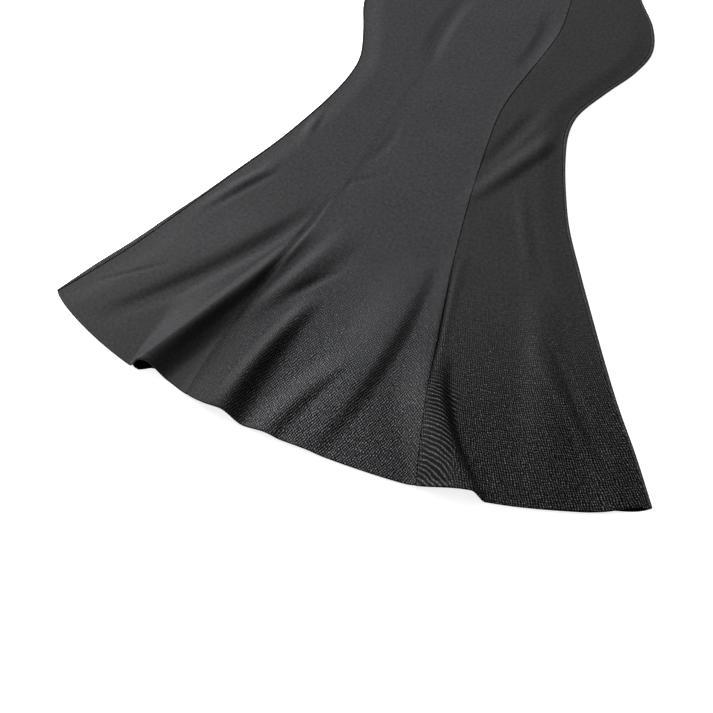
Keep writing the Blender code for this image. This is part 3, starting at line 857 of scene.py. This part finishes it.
def twill(name, weave, light):
    """Matt twill. Its yarns' grain and painted glints, both in the base colour, show more and more towards
    the hem.
    """
    n = NodeTree(name)
    uv = n.uv("weave")
    crests = yarn_crests(n, uv, weave)
    # the yarns' crests in the base colour: the weave's grain, with painted glints on them
    scatter = n.math("MULTIPLY", n.math("POWER", crests, weave.spark), 1 / weave.level)
    if weave.rib_map == "ribs":    # only the right gore's, which has the lit flank
        scatter = painted_rib_highlights(n, uv, scatter)

    high = n.ramp(n.axis(uv, "Y"), weave.low, weave.high, 0.0, 1.0)
    strength = n.math("MULTIPLY_ADD", high, weave.quiet - weave.clear, weave.clear)
    # painted light and shade at the gore's foot, which fades out upwards
    tone = n.math("MULTIPLY_ADD", high, light.tone * (1 - light.hem_tone), light.tone * light.hem_tone)
    # painted shade at the two edges of the gore's foot, fading out upwards
    if min(light.left_share, light.left_tone, light.right_tone) < 1:
        across = n.axis(n.uv("ribs"), "X")
        half = 0.5 * GORE_WIDTH
        strength = n.math("MULTIPLY", strength, n.ramp(across, 0.0, half, light.left_share, 1.0))
        left = n.ramp(across, 0.0, half, light.left_tone, 1.0)
        right = n.ramp(across, half, GORE_WIDTH, 1.0, light.right_tone)
        tone = n.math("MULTIPLY", tone, n.between(n.math("MULTIPLY", left, right), 1.0, high))
    scattered = n.between(1.0, scatter, strength)
    fuzz = n.uneven(uv, FUZZ, n.uneven(uv, MOTTLE, PLAIN_SHADE))
    shade = n.math("MULTIPLY", n.math("MULTIPLY", scattered, fuzz), tone)
    n.paint(getattr(bpy.context.scene.skirt_colours, light.colour), shade)
    relief = n.math("MULTIPLY", n.math("MULTIPLY", crests, strength), YARN_RELIEF)
    bump = n.node("ShaderNodeBump", Height=relief, Strength=1.0, Distance=1.0)
    n.set(n.shader.inputs["Normal"], bump.outputs["Normal"])
    n.surface({"Roughness": 0.62, "Specular IOR Level": 0.03})
    n.surface({"Sheen Weight": 0.012, "Sheen Roughness": 0.45, "Sheen Tint": (0.85, 0.87, 1.0, 1.0)})
    return n.material


def inside_twill():
    """The wrong side of the twill, flat and much darker: painted shade for the flutes' mouths and hollows,
    where it shows.
    """
    ready = bpy.data.materials.get("inside_twill")
    if ready:
        return ready
    n = NodeTree("inside_twill")
    n.paint(bpy.context.scene.skirt_colours.inside, n.uneven(n.uv("weave"), INSIDE_FUZZ, INSIDE_PLAIN_SHADE))
    n.surface({"Roughness": 0.8, "Specular IOR Level": 0.02})
    return n.material


def table_top():
    """White matt table, very slightly uneven in tone."""
    n = NodeTree("white_table")
    cloud = n.uneven(n.node("ShaderNodeTexCoord").outputs["Object"], TABLE_CLOUD)
    plain = bpy.context.scene.skirt_colours.table
    paler = (min(1.0, TABLE_PALER * c) for c in plain)
    mixed = n.node("ShaderNodeMix", {"data_type": "RGBA"}, i0=cloud, i6=(*plain, 1.0), i7=(*paler, 1.0))
    n.set(n.shader.inputs["Base Color"], mixed.outputs[2])
    glow = bpy.context.scene.skirt_stage.table_glow
    n.surface({"Roughness": 0.7, "Specular IOR Level": 0.2})
    n.surface({"Emission Color": (1.0, 1.0, 1.0, 1.0), "Emission Strength": glow})
    return n.material


# The stage
TABLE_SIZE = 12.0
KEY_SIZE = (2.0, 1.5)
KEY_PLACE = (-3.40, 1.40, 2.20)
KEY_AIM = (-0.05, -0.25, 0.0)
FILL_SIDE = (-0.45, 0.45, 0.77)      # where the light from all around is strongest
FILL_START = -0.5        # cosine of the angle to that side, at and below which it is weakest
FILL_WEAKEST = 0.15      # its strength there, as a share of the fill's
FILL_STRONGEST = 2.0     # and on that side


def studio_world(strength):
    """Light from all around, strong from the left and the back, and weak from the front and the right."""
    world = bpy.data.worlds.new("studio")
    world.use_nodes = True
    tree = world.node_tree
    place = tree.nodes.new("ShaderNodeTexCoord")
    facing = tree.nodes.new("ShaderNodeVectorMath")
    facing.operation = "DOT_PRODUCT"
    facing.inputs[1].default_value = FILL_SIDE
    tree.links.new(place.outputs["Generated"], facing.inputs[0])
    level = tree.nodes.new("ShaderNodeMapRange")
    tree.links.new(facing.outputs["Value"], level.inputs["Value"])
    level.inputs["From Min"].default_value = FILL_START
    level.inputs["To Min"].default_value = FILL_WEAKEST * strength
    level.inputs["To Max"].default_value = FILL_STRONGEST * strength
    tree.links.new(level.outputs["Result"], tree.nodes["Background"].inputs["Strength"])
    tree.nodes["Background"].inputs["Color"].default_value = (1.0, 1.0, 1.0, 1.0)
    return world


def aim(thing, direction):
    """Turn a lamp or a camera to look along a direction."""
    thing.rotation_mode = "QUATERNION"
    thing.rotation_quaternion = direction.to_track_quat("-Z", "Y")


class SKIRT_OT_back_gores(bpy.types.Operator):
    """Lay the three back gores flat on the table, their sides rolled over onto the top"""

    bl_idname = "skirt.back_gores"
    bl_label = "Back gores"

    def execute(self, context):
        material = twill("back_twill", BACK_WEAVE, EVEN_TONE)
        pieces = {
            "back_left": back_side_gore("back_left_cloth", -1, material),
            "back_centre": back_centre_gore("back_centre_cloth", material),
            "back_right": back_side_gore("back_right_cloth", 1, material),
        }
        for node, piece in pieces.items():
            settle(piece, node)
        return {"FINISHED"}


class SKIRT_OT_front_gores(bpy.types.Operator):
    """Lay the three front gores on the back, with their flutes standing up at the hem"""

    bl_idname = "skirt.front_gores"
    bl_label = "Front gores"

    def execute(self, context):
        left = front_gore(
            "front_left_cloth", 0, SIDE_COLUMNS, (SIDE_SEAM, LOW_LEFT),
            twill("left_twill", SIDE_WEAVE, LEFT_TONE))
        centre = front_gore(
            "front_centre_cloth", 1, CENTRE_COLUMNS, (PROUD_LEFT, PROUD_RIGHT),
            twill("centre_twill", CENTRE_WEAVE, CENTRE_TONE))
        right = front_gore(
            "front_right_cloth", 2, SIDE_COLUMNS, (LOW_RIGHT, SIDE_SEAM),
            twill("right_twill", RIGHT_WEAVE, RIGHT_TONE))
        for piece, node in ((left, "front_left"), (centre, "front_centre"), (right, "front_right")):
            settle(piece, node)
        return {"FINISHED"}


class SKIRT_OT_waistband(bpy.types.Operator):
    """Close the folded waistband round the top of the gores"""

    bl_idname = "skirt.waistband"
    bl_label = "Waistband"

    def execute(self, context):
        band = waistband("waistband_cloth", twill("band_twill", SIDE_WEAVE, EVEN_TONE))
        settle(band, "waistband")
        return {"FINISHED"}


class SKIRT_OT_stage(bpy.types.Operator):
    """Set the white table, the soft lights and the camera"""

    bl_idname = "skirt.stage"
    bl_label = "Table, lights and camera"

    def execute(self, context):
        scene = context.scene
        setting = scene.skirt_stage
        bpy.ops.mesh.primitive_plane_add(size=TABLE_SIZE, location=(0.0, 0.0, CAD_LOW.z))
        table = context.object
        table.name = "table"
        table.data.materials.append(table_top())

        key = bpy.data.lights.new("key", "AREA")
        key.shape = "RECTANGLE"
        key.size, key.size_y = KEY_SIZE
        key.energy = setting.key_power
        lamp = bpy.data.objects.new("key", key)
        scene.collection.objects.link(lamp)
        lamp.location = KEY_PLACE
        aim(lamp, Vector(KEY_AIM) - lamp.location)

        scene.world = studio_world(setting.fill_strength)
        scene.view_settings.view_transform = "Standard"

        camera = bpy.data.cameras.new("camera")
        camera.sensor_width = 36.0
        camera.lens = setting.focal_length
        viewer = bpy.data.objects.new("camera", camera)
        scene.collection.objects.link(viewer)
        viewer.location = setting.camera_place
        level = math.cos(setting.elevation)
        back = Vector((
            math.sin(setting.azimuth) * level,
            -math.cos(setting.azimuth) * level,
            math.sin(setting.elevation),
        ))
        aim(viewer, -back)
        scene.camera = viewer
        return {"FINISHED"}


class SKIRT_PT_panel(bpy.types.Panel):
    """Sidebar panel with the skirt's sizes, colours and pieces"""

    bl_idname = "SKIRT_PT_panel"
    bl_label = "Fishtail skirt"
    bl_space_type = "VIEW_3D"
    bl_region_type = "UI"
    bl_category = "Skirt"

    def draw(self, context):
        scene = context.scene
        for group in (scene.skirt_sizes, scene.skirt_colours, scene.skirt_stage):
            box = self.layout.box()
            for name in group.bl_rna.properties.keys():
                if name not in ("rna_type", "name"):
                    box.prop(group, name)
        for step in STEPS:
            self.layout.operator(step.bl_idname)


STEPS = (SKIRT_OT_stage, SKIRT_OT_back_gores, SKIRT_OT_front_gores, SKIRT_OT_waistband)
GROUPS = (("skirt_sizes", SkirtSizes), ("skirt_colours", SkirtColours), ("skirt_stage", SkirtStage))


def register():
    for name, group in GROUPS:
        bpy.utils.register_class(group)
        setattr(bpy.types.Scene, name, PointerProperty(type=group))
    for kind in (*STEPS, SKIRT_PT_panel):
        bpy.utils.register_class(kind)


def unregister():
    for kind in (SKIRT_PT_panel, *reversed(STEPS)):
        bpy.utils.unregister_class(kind)
    for name, group in reversed(GROUPS):
        delattr(bpy.types.Scene, name)
        bpy.utils.unregister_class(group)


def main():
    register()
    bpy.ops.skirt.stage()
    bpy.ops.skirt.back_gores()
    bpy.ops.skirt.front_gores()
    bpy.ops.skirt.waistband()


if __name__ == "__main__":
    main()
